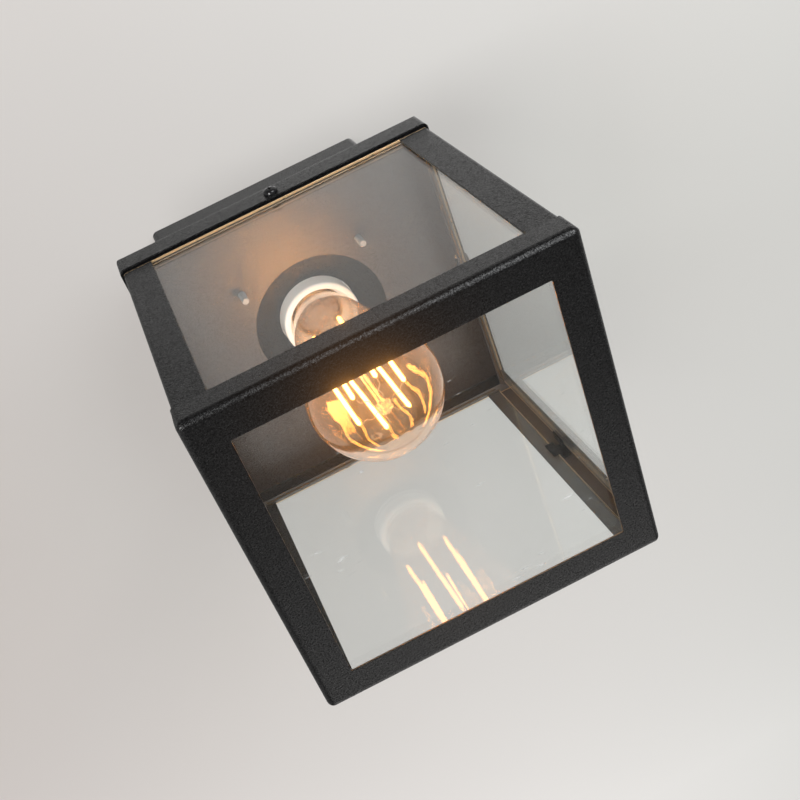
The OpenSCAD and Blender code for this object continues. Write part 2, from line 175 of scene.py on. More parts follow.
def m_powder(name, lo, hi, rough=(0.18, 0.31), bump=0.42, spec=(0.10, 0.72), dist=0.0004, coat=0.0):
    m = Mat(name)
    c = m.coords()
    grain = m.noise(2600, 2, 0.6, vec=c)
    lumps = m.noise(1250, 3, 0.65, vec=c)
    pits = m.noise(1500, 2, 0.75, vec=c)
    broad = m.noise(9, 2, 0.5, vec=c)
    tone = m.mixcol(m.remap(lumps, 0.36, 0.66, 0, 1), lo, hi)
    tone = m.mixcol(m.remap(broad, 0.35, 0.65, 0.0, 0.22), tone, (hi[0] * 1.25, hi[1] * 1.22, hi[2] * 1.2))
    h = m.math("ADD", m.math("MULTIPLY", grain, 0.45), lumps)
    p = m.principled(Base_Color=tone, Roughness=m.remap(grain, 0.35, 0.65, rough[1], rough[0]),
                     Normal=m.bump(h, bump, dist))
    m.link(m.remap(pits, 0.38, 0.62, spec[0], spec[1]), p.inputs["Specular IOR Level"])
    if coat:
        p.inputs["Coat Weight"].default_value = coat
        p.inputs["Coat IOR"].default_value = 2.25
        p.inputs["Coat Roughness"].default_value = 0.25
        m.link(m.remap(pits, 0.40, 0.60, coat * 0.5, coat), p.inputs["Coat Weight"])
        m.link(m.bump(h, bump, dist), p.inputs["Coat Normal"])
    return m.done(p)


def m_metal(name, col, rough, metallic=1.0, scratch=220, tint=(0.82, 0.82, 0.82)):
    m = Mat(name)
    c = m.coords()
    a = m.noise(scratch * 10, 3, 0.6, vec=c)
    b = m.noise(scratch, 3, 0.6, vec=c)
    base = m.mixcol(m.remap(b, 0.35, 0.7, 0, 1), col, tuple(x * y for x, y in zip(col, tint)))
    p = m.principled(Base_Color=base, Metallic=metallic, Roughness=m.remap(b, 0.3, 0.7, rough * 0.75, rough * 1.35),
                     Normal=m.bump(a, 0.15, 0.00004))
    return m.done(p)


def m_plain(name, col, rough, scale=300, vary=0.12, bump=0.15, dist=0.00008, **kw):
    m = Mat(name)
    c = m.coords()
    a = m.noise(scale, 4, 0.6, vec=c)
    b = m.noise(scale * 6, 3, 0.6, vec=c)
    base = m.mixcol(m.remap(a, 0.3, 0.7, 0, 1), tuple(x * (1 - vary) for x in col), tuple(min(1, x * (1 + vary)) for x in col))
    p = m.principled(Base_Color=base, Roughness=m.remap(a, 0.3, 0.7, rough * 0.8, rough * 1.2),
                     Normal=m.bump(b, bump, dist), **kw)
    return m.done(p)


def m_glass(name, tint, coat=None, coat_mix=0.0, bump=0.0, bump_scale=40, ior=1.5, haze=None, shadow=(0.93, 0.95, 0.94), edge=None, neck=None, marks=0.0):
    """Clear glass that bends what is seen through it, and lets lamps through to what it shuts in."""
    m = Mat(name)
    c = m.coords()
    wav = m.noise(bump_scale, 2, 0.5, vec=c)
    g = m.n("ShaderNodeBsdfGlass")
    g.inputs["Color"].default_value = (*tint, 1)
    g.inputs["IOR"].default_value = ior
    g.inputs["Roughness"].default_value = 0.0
    if bump:
        m.link(m.bump(wav, bump, 0.0004), g.inputs["Normal"])
    shader = g.outputs[0]
    if haze:
        d = m.n("ShaderNodeBsdfDiffuse")
        d.inputs["Color"].default_value = (*haze[1], 1)
        spots = m.remap(m.noise(haze[3], 5, 0.7, vec=c), haze[2], haze[2] + 0.12, 0, haze[0])
        if marks:                                  # a few short wiping marks
            mp = m.n("ShaderNodeMapping")
            mp.inputs["Rotation"].default_value = (0.0, 0.0, -0.42)
            mp.inputs["Scale"].default_value = (110, 640, 200)
            m.link(c, mp.inputs["Vector"])
            dash = m.math("MULTIPLY", m.remap(m.noise(1.0, 1, 0.5, vec=mp.outputs[0]), 0.715, 0.765, 0, marks), m.remap(m.noise(26, 1, 0.5, vec=c), 0.52, 0.60, 0, 1))
            spots = m.math("MAXIMUM", spots, dash)
        x = m.n("ShaderNodeMixShader")
        m.link(spots, x.inputs[0]); m.link(shader, x.inputs[1]); m.link(d.outputs[0], x.inputs[2])
        shader = x.outputs[0]
    if coat_mix:
        tr = m.n("ShaderNodeBsdfTranslucent")
        tr.inputs["Color"].default_value = (*coat, 1)
        df = m.n("ShaderNodeBsdfDiffuse")
        df.inputs["Color"].default_value = (*coat, 1)
        half = m.n("ShaderNodeMixShader")
        half.inputs[0].default_value = 0.4
        m.link(tr.outputs[0], half.inputs[1]); m.link(df.outputs[0], half.inputs[2])
        x = m.n("ShaderNodeMixShader")
        amount = m.remap(wav, 0.3, 0.7, coat_mix * 0.8, coat_mix * 1.2)
        if neck:                  # the amber film is thicker up in the neck
            sep = m.n("ShaderNodeSeparateXYZ")
            m.link(c, sep.inputs[0])
            amount = m.math("ADD", amount, m.remap(sep.outputs["Z"], neck[0], neck[1], 0.0, neck[2]))
        m.link(amount, x.inputs[0])
        m.link(shader, x.inputs[1]); m.link(half.outputs[0], x.inputs[2])
        shader = x.outputs[0]
    if edge:                      # the ground edges of a pane: translucent and frosted, tinted amber as painted lamp light
        sep = m.n("ShaderNodeSeparateXYZ")
        m.link(c, sep.inputs[0])
        mask = None
        for ax, mid, half in edge:
            far = m.math("GREATER_THAN", m.math("ABSOLUTE", m.math("SUBTRACT", sep.outputs[ax], mid)), half)
            mask = far if mask is None else m.math("MAXIMUM", mask, far)
        tr = m.n("ShaderNodeBsdfTranslucent")
        high = m.remap(sep.outputs["Z"], (144.0 - TOP) * 0.001, (144.8 - TOP) * 0.001, 0, 1)      # painted shade: the edge turns near black in its top mm, under the top rail
        m.link(m.mixcol(high, (0.80, 0.66, 0.47), (0.12, 0.08, 0.05)), tr.inputs["Color"])
        df = m.n("ShaderNodeBsdfDiffuse")
        m.link(m.mixcol(high, (0.60, 0.50, 0.37), (0.09, 0.06, 0.04)), df.inputs["Color"])
        half = m.n("ShaderNodeMixShader")
        half.inputs[0].default_value = 0.35
        m.link(tr.outputs[0], half.inputs[1]); m.link(df.outputs[0], half.inputs[2])
        x = m.n("ShaderNodeMixShader")
        m.link(m.math("MULTIPLY", mask, m.remap(m.noise(600, 3, 0.6, vec=c), 0.3, 0.7, 0.55, 0.85)), x.inputs[0])
        m.link(shader, x.inputs[1]); m.link(half.outputs[0], x.inputs[2])
        shader = x.outputs[0]
    lp = m.n("ShaderNodeLightPath")
    t = m.n("ShaderNodeBsdfTransparent")
    t.inputs["Color"].default_value = (*shadow, 1)
    x = m.n("ShaderNodeMixShader")
    m.link(m.math("MAXIMUM", lp.outputs["Is Shadow Ray"], lp.outputs["Is Diffuse Ray"]), x.inputs[0])
    m.link(shader, x.inputs[1]); m.link(t.outputs[0], x.inputs[2])
    return m.done(x.outputs[0])


def m_glow(name, core, edge, strength):
    m = Mat(name)
    c = m.coords()
    lw = m.n("ShaderNodeLayerWeight")
    lw.inputs["Blend"].default_value = 0.35
    grain = m.noise(900, 2, 0.5, vec=c)
    col = m.mixcol(m.remap(lw.outputs["Facing"], 0.15, 0.9, 0, 1), core, edge)
    e = m.n("ShaderNodeEmission")
    m.link(col, e.inputs["Color"])
    lp = m.n("ShaderNodeLightPath")
    seen = m.math("MAXIMUM", m.math("MAXIMUM", lp.outputs["Is Camera Ray"], lp.outputs["Is Transmission Ray"]), lp.outputs["Is Glossy Ray"])
    direct = m.math("SUBTRACT", 1.0, m.math("MINIMUM", lp.outputs["Diffuse Depth"], 1.0))
    seen = m.math("MULTIPLY", seen, direct)
    mirror = m.math("MULTIPLY", m.math("MINIMUM", lp.outputs["Glossy Depth"], 1.0), 0.45)
    part = m.math("ADD", 0.5, m.math("MULTIPLY", seen, m.math("SUBTRACT", 0.5, mirror)))
    m.link(m.math("MULTIPLY", m.remap(grain, 0.3, 0.7, strength * 0.85, strength * 1.15), part), e.inputs["Strength"])
    return m.done(e)


m_powder("black_powder", (0.002, 0.002, 0.0021), (0.010, 0.010, 0.0103))
# painted light: the roof's underside gets a lighter, warmer copy of the black powder coat, standing in for the bulb's
# light on it
m_powder("roof_inside_painted_light", (0.022, 0.0178, 0.0168), (0.046, 0.0375, 0.0355), rough=(0.26, 0.34), bump=0.45, spec=(0.3, 1.0), dist=0.0004, coat=1.0)
# partly painted light: warm brown metal for the window's cut edges; the bare edge is real, its warm glow is painted
# lamp light
m_metal("cut_edge_and_lamp_glint", (0.34, 0.22, 0.14), 0.34)
# painted light: a lighter copy of the black powder coat for inner faces that the lamp lights
m_powder("frame_inside_painted_light", (0.050, 0.047, 0.046), (0.086, 0.081, 0.079), rough=(0.34, 0.46), bump=0.3, spec=(0.3, 0.8), dist=0.0004)
# painted light: a lighter, warm brown copy of the black powder coat for the rail's underside, for the lamp's warm light
# on it
m_powder("rail_under_painted_light", (0.022, 0.018, 0.017), (0.040, 0.033, 0.031), rough=(0.30, 0.42), bump=0.3, spec=(0.3, 0.8), dist=0.0004)
# painted highlight: bright gold metal for the rail's underside strip in front of the panes, where the lamp light glints
m_metal("rail_edge_painted_glint", (1.0, 0.70, 0.40), 0.34)
m_plain("black_screw", (0.010, 0.010, 0.011), 0.13, 400, 0.2, 0.25, 0.00005)
m_metal("zinc_steel", (0.96, 0.95, 0.93), 0.15, metallic=0.72)
m_plain("black_rubber", (0.018, 0.018, 0.018), 0.7, 500, 0.2, 0.4, 0.0001)
# painted light: the porcelain glows faintly warm (emission 0.20), standing in for the light of the bulb and the
# softboxes on the holder
m_plain("white_porcelain", (0.90, 0.89, 0.865), 0.16, 60, 0.02, 0.05, 0.00006, Coat_Weight=0.6, Coat_Roughness=0.06,
        Emission_Color=(1.0, 0.78, 0.62, 1), Emission_Strength=0.20,
        Subsurface_Weight=0.15, Subsurface_Radius=(0.003, 0.002, 0.0015), Subsurface_Scale=1.0)
m_metal("brass", (0.86, 0.66, 0.34), 0.27, metallic=0.78, tint=(0.85, 0.78, 0.66))
m_plain("white_plastic", (0.82, 0.82, 0.79), 0.38, 300, 0.03, 0.1)
m_plain("brown_insulation", (0.20, 0.085, 0.035), 0.42, 400, 0.12)
m_plain("blue_insulation", (0.05, 0.13, 0.38), 0.42, 400, 0.12)
m_plain("solder", (0.62, 0.62, 0.61), 0.3, 700, 0.12, 0.5, 0.0001, Metallic=1.0)
m_plain("black_glass", (0.010, 0.010, 0.012), 0.12, 300, 0.2, 0.1)
m_metal("support_wire", (0.60, 0.56, 0.50), 0.3)
ZM, ZH = (75.0 - TOP) * 0.001, 0.0701
for pn, ed in (("pane_fb", (("X", 0, 0.0707), ("Z", ZM, ZH))), ("pane_lr", (("Y", 0, 0.0707), ("Z", ZM, ZH))), ("clear_pane", (("X", 0, 0.0762), ("Y", 0, 0.0762)))):
    m_glass(pn, (0.990, 0.9985, 0.9972), bump=0.05, bump_scale=7, haze=(0.16, (0.8, 0.8, 0.8), 0.70, 160), edge=ed,
            marks=0.4 if pn == "clear_pane" else 0.0)
m_glass("lamp_glass", (1.0, 0.985, 0.96), coat=(1.0, 0.70, 0.42), coat_mix=0.020, bump=0.5, bump_scale=62, shadow=(0.98, 0.97, 0.95),
        neck=((128 - TOP) * 0.001, (158 - TOP) * 0.001, 0.07))
m_glass("stem_glass", (0.99, 0.97, 0.94), coat=(1.0, 0.75, 0.5), coat_mix=0.10, bump=0.6, bump_scale=300, shadow=(0.97, 0.95, 0.92))
m = Mat("stem_upper")
cc = m.coords()
sp = m.n("ShaderNodeSeparateXYZ"); m.link(cc, sp.inputs[0])
crk = m.noise(330, 3, 0.6, 1.6, vec=cc)
line = m.math("SUBTRACT", 1.0, m.remap(m.math("ABSOLUTE", m.math("SUBTRACT", crk, 0.5)), 0.0, 0.055, 0, 1))
high = m.remap(sp.outputs["Z"], -0.079, -0.070, 0, 1)
gs = m.n("ShaderNodeBsdfGlass")
gs.inputs["Color"].default_value = (0.99, 0.95, 0.90, 1); gs.inputs["IOR"].default_value = 1.5
m.link(m.bump(crk, 0.7, 0.0006), gs.inputs["Normal"])
tl, df = m.n("ShaderNodeBsdfTranslucent"), m.n("ShaderNodeBsdfDiffuse")
tl.inputs["Color"].default_value = (0.95, 0.82, 0.72, 1); df.inputs["Color"].default_value = (0.93, 0.84, 0.77, 1)
hf, mx, sh = m.n("ShaderNodeMixShader"), m.n("ShaderNodeMixShader"), m.n("ShaderNodeMixShader")
hf.inputs[0].default_value = 0.5
m.link(tl.outputs[0], hf.inputs[1]); m.link(df.outputs[0], hf.inputs[2])
m.link(m.math("ADD", m.math("MULTIPLY", m.math("MULTIPLY", line, high), 0.75), 0.07), mx.inputs[0])
m.link(gs.outputs[0], mx.inputs[1]); m.link(hf.outputs[0], mx.inputs[2])
lp, tr = m.n("ShaderNodeLightPath"), m.n("ShaderNodeBsdfTransparent")
tr.inputs["Color"].default_value = (0.97, 0.95, 0.92, 1)
m.link(m.math("MAXIMUM", lp.outputs["Is Shadow Ray"], lp.outputs["Is Diffuse Ray"]), sh.inputs[0])
m.link(mx.outputs[0], sh.inputs[1]); m.link(tr.outputs[0], sh.inputs[2])
m.done(sh.outputs[0])
m_glow("filament", (1.0, 0.46, 0.10), (1.0, 0.34, 0.05), 84.0)
# painted light: the clear bead is coloured dark amber brown, standing in for the bulb's warm light in it
m = Mat("clear_sealant")
cc = m.coords()
aa = m.noise(420, 4, 0.6, vec=cc)
m.done(m.principled(Base_Color=m.mixcol(m.remap(aa, 0.35, 0.65, 0, 1), (0.10, 0.058, 0.028), (0.17, 0.105, 0.055)), Roughness=0.2,
                    Transmission_Weight=0.35, IOR=1.41, Normal=m.bump(aa, 0.5, 0.0004)))
m = Mat("green_yellow_insulation")
cc = m.coords()
sp = m.n("ShaderNodeSeparateXYZ"); m.link(cc, sp.inputs[0])
w = m.math("SINE", m.math("MULTIPLY", m.math("ADD", sp.outputs["Z"], sp.outputs["Y"]), 1400.0))
m.done(m.principled(Base_Color=m.mixcol(m.remap(w, -0.2, 0.2, 0, 1), (0.05, 0.24, 0.05), (0.62, 0.55, 0.05)), Roughness=0.42,
                    Normal=m.bump(m.noise(900, 2, 0.5, vec=cc), 0.2, 0.0001)))
m = Mat("pale_floor")
cc = m.coords()
ff = m.noise(1.2, 4, 0.6, vec=cc)
m.done(m.principled(Base_Color=m.mixcol(m.remap(ff, 0.3, 0.7, 0, 1), (0.70, 0.69, 0.67), (0.74, 0.73, 0.71)), Roughness=0.85,
                    Normal=m.bump(m.noise(60, 3, 0.6, vec=cc), 0.1, 0.001)))

m = Mat("pale_ceiling")
cc = m.coords()
ff = m.noise(1.5, 4, 0.6, vec=cc)
d = m.n("ShaderNodeBsdfDiffuse")
m.link(m.mixcol(m.remap(ff, 0.3, 0.7, 0, 1), (0.273, 0.270, 0.266), (0.287, 0.284, 0.280)), d.inputs["Color"])
m.link(m.bump(m.noise(180, 3, 0.6, vec=cc), 0.05, 0.0005), d.inputs["Normal"])
geo = m.n("ShaderNodeNewGeometry")
t = m.n("ShaderNodeBsdfTransparent")
e = m.n("ShaderNodeEmission")
sp = m.n("ShaderNodeSeparateXYZ"); m.link(cc, sp.inputs[0])
gx = m.remap(sp.outputs["X"], -0.32, 0.32, -0.8, 0.8)         # painted light: the ceiling glows in soft pools, paler to the right and back
gy = m.remap(sp.outputs["Y"], -0.24, 0.60, -0.6, 1.5)
soft = m.math("ADD", m.math("MULTIPLY", gx, 0.134), m.math("MULTIPLY", gy, -0.046))
soft = m.math("ADD", soft, m.math("MULTIPLY", m.math("MULTIPLY", gx, gx), -0.07))
soft = m.math("ADD", soft, m.math("MULTIPLY", m.math("MULTIPLY", gx, gy), -0.127))
soft = m.math("ADD", soft, m.math("MULTIPLY", m.math("MULTIPLY", gy, gy), 0.111))
soft = m.math("ADD", soft, m.remap(ff, 0.3, 0.7, 0.337, 0.343))
cr = m.n("ShaderNodeCombineColor")
# painted light: redder towards the left
m.link(m.math("ADD", soft, m.remap(gx, -0.8, 0.8, 0.036, 0.0)), cr.inputs[0])
m.link(soft, cr.inputs[1])
m.link(m.math("SUBTRACT", soft, 0.018), cr.inputs[2])
m.link(cr.outputs[0], e.inputs["Color"])
a = m.n("ShaderNodeAddShader")
m.link(d.outputs[0], a.inputs[0]); m.link(e.outputs[0], a.inputs[1])
x = m.n("ShaderNodeMixShader")
m.link(geo.outputs["Backfacing"], x.inputs[0]); m.link(a.outputs[0], x.inputs[1]); m.link(t.outputs[0], x.inputs[2])
m.done(x.outputs[0])


# ------------------------------------------------------------------ mesh tools
def finish_mesh(me, sharp=38.0):
    bm = bmesh.new()
    bm.from_mesh(me)
    bmesh.ops.recalc_face_normals(bm, faces=bm.faces)
    bm.to_mesh(me)
    bm.free()
    me.shade_smooth()
    me.set_sharp_from_angle(angle=math.radians(sharp))
    me.update()


def add(name, me, node_or_slot, body, nodes=(), sharp=38.0, mat=None):
    finish_mesh(me, sharp)
    ob = bpy.data.objects.new(name, me)
    SC.collection.objects.link(ob)
    slot = SLOT_OF.get(node_or_slot, node_or_slot)
    me.materials.clear()
    me.materials.append(MATS[mat or slot])
    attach(ob, body)
    if nodes:
        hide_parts(*nodes)
    return ob


def raw(verts, faces):
    me = bpy.data.meshes.new("m")
    me.from_pydata([V(v) for v in verts], [], faces)
    me.validate()
    return me


def cad(node, bevel=0.22, seg=2, angle=35.0, name=None, weld=0.002, mat=None):
    """A cleaned copy of a CAD node, with its sharp edges broken."""
    src = NODES[node].data
    bm = bmesh.new()
    bm.from_mesh(src)
    bmesh.ops.remove_doubles(bm, verts=bm.verts, dist=weld * 0.001)
    bmesh.ops.dissolve_limit(bm, angle_limit=math.radians(0.6), verts=bm.verts, edges=bm.edges)
    if bevel:
        edges = [e for e in bm.edges if len(e.link_faces) == 2 and e.calc_face_angle(0) > math.radians(angle)]
        bmesh.ops.bevel(bm, geom=edges, offset=bevel * 0.001, segments=seg, profile=0.5, affect="EDGES", clamp_overlap=True)
    bmesh.ops.triangulate(bm, faces=[f for f in bm.faces if len(f.verts) > 4])
    me = bpy.data.meshes.new(node + "_mesh")
    bm.to_mesh(me)
    bm.free()
    return weigh(add(name or node + "_v", me, node, BODY_OF[node], (node,), sharp=30.0, mat=mat))


def slice_mesh(ob, *cuts):
    """Adds edge loops where a mesh crosses the planes x = +-c and y = +-c."""
    bm = bmesh.new()
    bm.from_mesh(ob.data)
    for c in cuts:
        for ax in ((1, 0, 0), (0, 1, 0)):
            for sg in (-1, 1):
                bmesh.ops.bisect_plane(bm, geom=bm.verts[:] + bm.edges[:] + bm.faces[:], dist=1e-6,
                                       plane_co=tuple(sg * c * k for k in ax), plane_no=ax)
    bm.to_mesh(ob.data)
    bm.free()


def weigh(ob):
    """Keeps the shading of the flat faces flat beside the bends and broken edges."""
    md = ob.modifiers.new("wn", "WEIGHTED_NORMAL")
    md.mode, md.weight, md.keep_sharp = "FACE_AREA", 50, True
    dg = bpy.context.evaluated_depsgraph_get()
    me = bpy.data.meshes.new_from_object(ob.evaluated_get(dg), preserve_all_data_layers=True, depsgraph=dg)
    ob.modifiers.clear()
    ob.data = me
    return ob


def lathe_mesh(profile, seg=96, closed=False, fn=None, axis_cap=True):
    """Turns (r, z) points round the axis. A closed profile joins its last point to its first."""
    pts, faces, rings = [], [], []
    for r, z in profile:
        if r < 1e-6:
            rings.append([len(pts)])
            pts.append((0, 0, z))
        else:
            ring = []
            for k in range(seg):
                a = 2 * math.pi * k / seg
                rr, zz = fn(r, z, a) if fn else (r, z)
                ring.append(len(pts))
                pts.append((rr * math.cos(a), rr * math.sin(a), zz))
            rings.append(ring)
    n = len(rings)
    for i in range(n if closed else n - 1):
        a, b = rings[i], rings[(i + 1) % n]
        if len(a) == 1 and len(b) == 1:
            continue
        for k in range(seg):
            k2 = (k + 1) % seg
            if len(a) == 1:
                faces.append((a[0], b[k], b[k2]))
            elif len(b) == 1:
                faces.append((a[k], a[k2], b[0]))
            else:
                faces.append((a[k], a[k2], b[k2], b[k]))
    return raw(pts, faces)


def tube_data(path, rad, seg=12, caps=True, up=None):
    """Tube along points; rad is a number or one per point. Ends are rounded in."""
    p = [Vector(q) for q in path]
    n = len(p)
    rads = [rad] * n if isinstance(rad, (int, float)) else list(rad)
    t = [(p[min(i + 1, n - 1)] - p[max(i - 1, 0)]).normalized() for i in range(n)]
    u = Vector(up) if up else (Vector((0, 0, 1)) if abs(t[0].z) < 0.9 else Vector((1, 0, 0)))
    verts, faces = [], []
    u = (u - t[0] * u.dot(t[0])).normalized()
    for i in range(n):
        u = (u - t[i] * u.dot(t[i]))
        u.normalize()
        v = t[i].cross(u)
        for k in range(seg):
            a = 2 * math.pi * k / seg
            verts.append(p[i] + (u * math.cos(a) + v * math.sin(a)) * rads[i])
    for i in range(n - 1):
        for k in range(seg):
            k2 = (k + 1) % seg
            faces.append((i * seg + k, i * seg + k2, (i + 1) * seg + k2, (i + 1) * seg + k))
    if caps:
        c0, c1 = len(verts), len(verts) + 1
        verts.append(p[0] - t[0] * rads[0] * 0.35)
        verts.append(p[-1] + t[-1] * rads[-1] * 0.35)
        for k in range(seg):
            k2 = (k + 1) % seg
            faces.append((c0, k2, k))
            faces.append((c1, (n - 1) * seg + k, (n - 1) * seg + k2))
    return verts, faces


def join_data(parts):
    verts, faces = [], []
    for v, f in parts:
        o = len(verts)
        verts += list(v)
        faces += [tuple(i + o for i in q) for q in f]
    return verts, faces


def smooth_path(pts, m=8):
    p = [Vector(q) for q in pts]
    out = []
    for i in range(len(p) - 1):
        p0, p1, p2, p3 = p[max(i - 1, 0)], p[i], p[i + 1], p[min(i + 2, len(p) - 1)]
        for k in range(m):
            s = k / m
            out.append(0.5 * ((2 * p1) + (p2 - p0) * s + (2 * p0 - 5 * p1 + 4 * p2 - p3) * s * s + (3 * p1 - p0 - 3 * p2 + p3) * s ** 3))
    out.append(p[-1])
    return out


def cut(me, cutters):
    """me less the cutter meshes."""
    a = bpy.data.objects.new("a", me)
    SC.collection.objects.link(a)
    for c in cutters:
        b = bpy.data.objects.new("b", c)
        SC.collection.objects.link(b)
        md = a.modifiers.new("x", "BOOLEAN")
        md.operation, md.solver, md.object = "DIFFERENCE", "EXACT", b
        dg = bpy.context.evaluated_depsgraph_get()
        new = bpy.data.meshes.new_from_object(a.evaluated_get(dg))
        a.modifiers.clear()
        a.data = new
        bpy.data.objects.remove(b)
    me = a.data
    bpy.data.objects.remove(a)
    return me


# ------------------------------------------------------------------ sheet metal
cap = cad("roof_cap", 0.28, 3)
cap.data.materials.append(MATS["roof_inside_painted_light"])
# painted light: the downward faces of the roof's underside take the lighter, warmer copy
for q in cap.data.polygons:
    if q.normal.z < -0.9 and abs(q.center.z - (163 - TOP) * 0.001) < 0.0002:
        q.material_index = 1
for n in ("canopy", "lamp_carrier"):
    cad(n, 0.28, 3)
for n in ("post_front_left", "post_front_right", "post_back_left", "post_back_right"):
    ob = cad(n, 0.28, 3)
    # painted light: the inward faces of the right-hand posts take the lighter copy
    if n.endswith("right"):
        ob.data.materials.append(MATS["frame_inside_painted_light"])
        for q in ob.data.polygons:
            c, m_ = q.center, q.normal
            if abs(m_.z) < 0.3 and (m_.x * c.x < -0.9 * abs(c.x) or m_.y * c.y < -0.9 * abs(c.y)):
                q.material_index = 1
# painted light on the rail's underside: a bright gold strip in front of the panes, a lighter warm copy above them, and
# a lighter copy at the back
rail = cad("top_rail", 0.28, 3)
slice_mesh(rail, 0.0778)
for mt in ("rail_under_painted_light", "rail_edge_painted_glint", "frame_inside_painted_light"):
    rail.data.materials.append(MATS[mt])
for q in rail.data.polygons:
    if q.normal.z < -0.5 and q.center.z < (148 - TOP) * 0.001:
        q.material_index = 2 if max(abs(q.center.x), abs(q.center.y)) > 0.0778 else 3 if q.center.y > 0.070 else 1
ring = cad("bottom_ring", 0.28, 3)
# its corners are ground round, and the lip is dressed down towards the posts
slice_mesh(ring, 0.0768, 0.0776, 0.0784)
zc, rc = (3 - TOP) * 0.001, 0.0032
for v in ring.data.vertices:
    x, y, z = v.co
    if abs(x) > 0.0768 and abs(y) > 0.0768:
        d = Vector((abs(x) - 0.0768, abs(y) - 0.0768, min(z - zc, 0.0)))
        if d.length > rc:
            d *= rc / d.length
            v.co = (math.copysign(0.0768 + d.x, x), math.copysign(0.0768 + d.y, y), z if z > zc else zc + d.z)
    if z > (13.4 - TOP) * 0.001:
        v.co.x, v.co.y = (max(-0.0795, min(0.0795, k)) for k in (v.co.x, v.co.y))
weigh(ring)
ring.data.materials.append(MATS["cut_edge_and_lamp_glint"])
for q in ring.data.polygons:                    # the cut edges of the window in the sheet, in warm brown metal: partly the bare edge, partly painted lamp light
    if abs(q.normal.z) < 0.5 and q.center.z < (1.6 - TOP) * 0.001 and max(abs(q.center.x), abs(q.center.y)) < 0.0735:
        q.material_index = 1
cad("pane_clips", 0.3, 3)
cad("ceiling_bracket", 0.3, 2)
for n in ("canopy_side_screws", "skirt_screws"):
    cad(n, 0.12, 2, 28)
for n in ("holder_nuts", "skirt_nuts", "earth_nut", "terminal_inserts", "terminal_screws", "holder_terminals", "earth_stud", "holder_studs"):
    cad(n, 0.12, 2)
cad("cable_grommet", 0.25, 3)
cad("terminal_block", 0.35, 3)
cad("centre_contact", 0.15, 2)
for n in ("pane_front", "pane_back", "pane_left", "pane_right", "pane_bottom"):
    cad(n, 0.3, 1, mat={"front": "pane_fb", "back": "pane_fb", "left": "pane_lr", "right": "pane_lr"}.get(n[5:]))


# ------------------------------------------------------------------ sealant beads
def bead(a, b, r, seed, bulge=0.25, seg=12, step=1.2):
    a, b = Vector(a), Vector(b)
    n = int((b - a).length / step)
    pts, rad = [], []
    for i in range(n + 1):
        s = i / n
        q = a.lerp(b, s)
        k = noise.noise(Vector((s * n * 0.09, seed, 0.3)))
        k2 = noise.noise(Vector((s * n * 0.4, seed + 7, 0.9)))
        taper = min(1.0, (min(s, 1 - s) * n + 0.4) / 2.0)
        rad.append(r * (1 + bulge * k + 0.12 * k2) * taper)
        pts.append(q + Vector((0, 0, 0.04 * k)))
    return tube_data(pts, rad, seg)


def side(p, k):
    x, y, z = p
    for _ in range(k):
        x, y = -y, x
    return (x, y, z)


for node, z, r, y in (("sealant_top", 145.5, 0.40, 74.2), ("sealant_bottom", 4.75, 0.36, 74.25)):
    parts = [bead(side((-69.6, -y, z), k), side((69.6, -y, z), k), r, 3.1 * k + z) for k in range(4)]
    v, f = join_data(parts)
    add(node + "_v", raw(v, f), node, "glass_cage", (node,), sharp=80)


# ------------------------------------------------------------------ roof screws
def threaded_profile(r0, r1, pitch, z0, z1, seg=28, per=6):
    """Rod with a screw thread from z0 down to z1, closed, with a small chamfer at its end."""
    n = int(abs(z1 - z0) / pitch * per)
    verts, faces = [], []
    for i in range(n + 1):
        z = z0 + (z1 - z0) * i / n
        fade = min(1.0, (n - i) / (per * 0.9))
        for k in range(seg):
            a = 2 * math.pi * k / seg
            ph = (z / pitch + k / seg) % 1.0
            tri = abs(ph * 2 - 1)
            r = r0 + (r1 - r0) * tri
            r = r * (0.80 + 0.20 * fade) if fade < 1 else r
            verts.append((r * math.cos(a), r * math.sin(a), z))
    for i in range(n):
        for k in range(seg):
            k2 = (k + 1) % seg
            faces.append((i * seg + k, i * seg + k2, (i + 1) * seg + k2, (i + 1) * seg + k))
    c0, c1 = len(verts), len(verts) + 1
    verts += [(0, 0, z0), (0, 0, z1)]
    for k in range(seg):
        k2 = (k + 1) % seg
        faces += [(c0, k2, k), (c1, n * seg + k, n * seg + k2)]
    return verts, faces


def cross_head(r, h, rs, length, pitch):
    """Pan head with a cross recess on z = 0, over a threaded shank. In mm about the origin; the mesh is in metres."""
    prof = [(rs * 0.98, 0), (r * 0.97, 0), (r, h * 0.06), (r, h * 0.34), (r * 0.975, h * 0.5), (r * 0.9, h * 0.68), (r * 0.78, h * 0.82), (r * 0.6, h * 0.92),
            (r * 0.35, h * 0.98), (0, h), ]
    pts, faces = [], []
    me = lathe_mesh([(0, 226.0)] + [(a, b + 226.0) for a, b in prof], 40)
    bars = []
    for ang in (0, 90):
        bm = bmesh.new()
        bmesh.ops.create_cube(bm, size=1)
        for v in bm.verts:
            v.co = Vector((v.co.x * r * 1.1, v.co.y * r * 0.24, v.co.z * h)) * 0.001
            if v.co.z < 0:
                v.co.x *= 0.55
            v.co.z += h * 0.98 * 0.001
        bmesh.ops.rotate(bm, verts=bm.verts, matrix=Matrix.Rotation(math.radians(ang), 3, "Z"))
        b = bpy.data.meshes.new("c")
        bm.to_mesh(b)
        bm.free()
        bars.append(b)
    me = cut(me, bars)
    vs = [tuple(v.co * 1000) for v in me.vertices]
    fs = [tuple(p.vertices) for p in me.polygons]
    tv, tf = threaded_profile(rs * 0.90, rs, pitch, 0.15, -length)
    return join_data([(vs, fs), (tv, tf)])


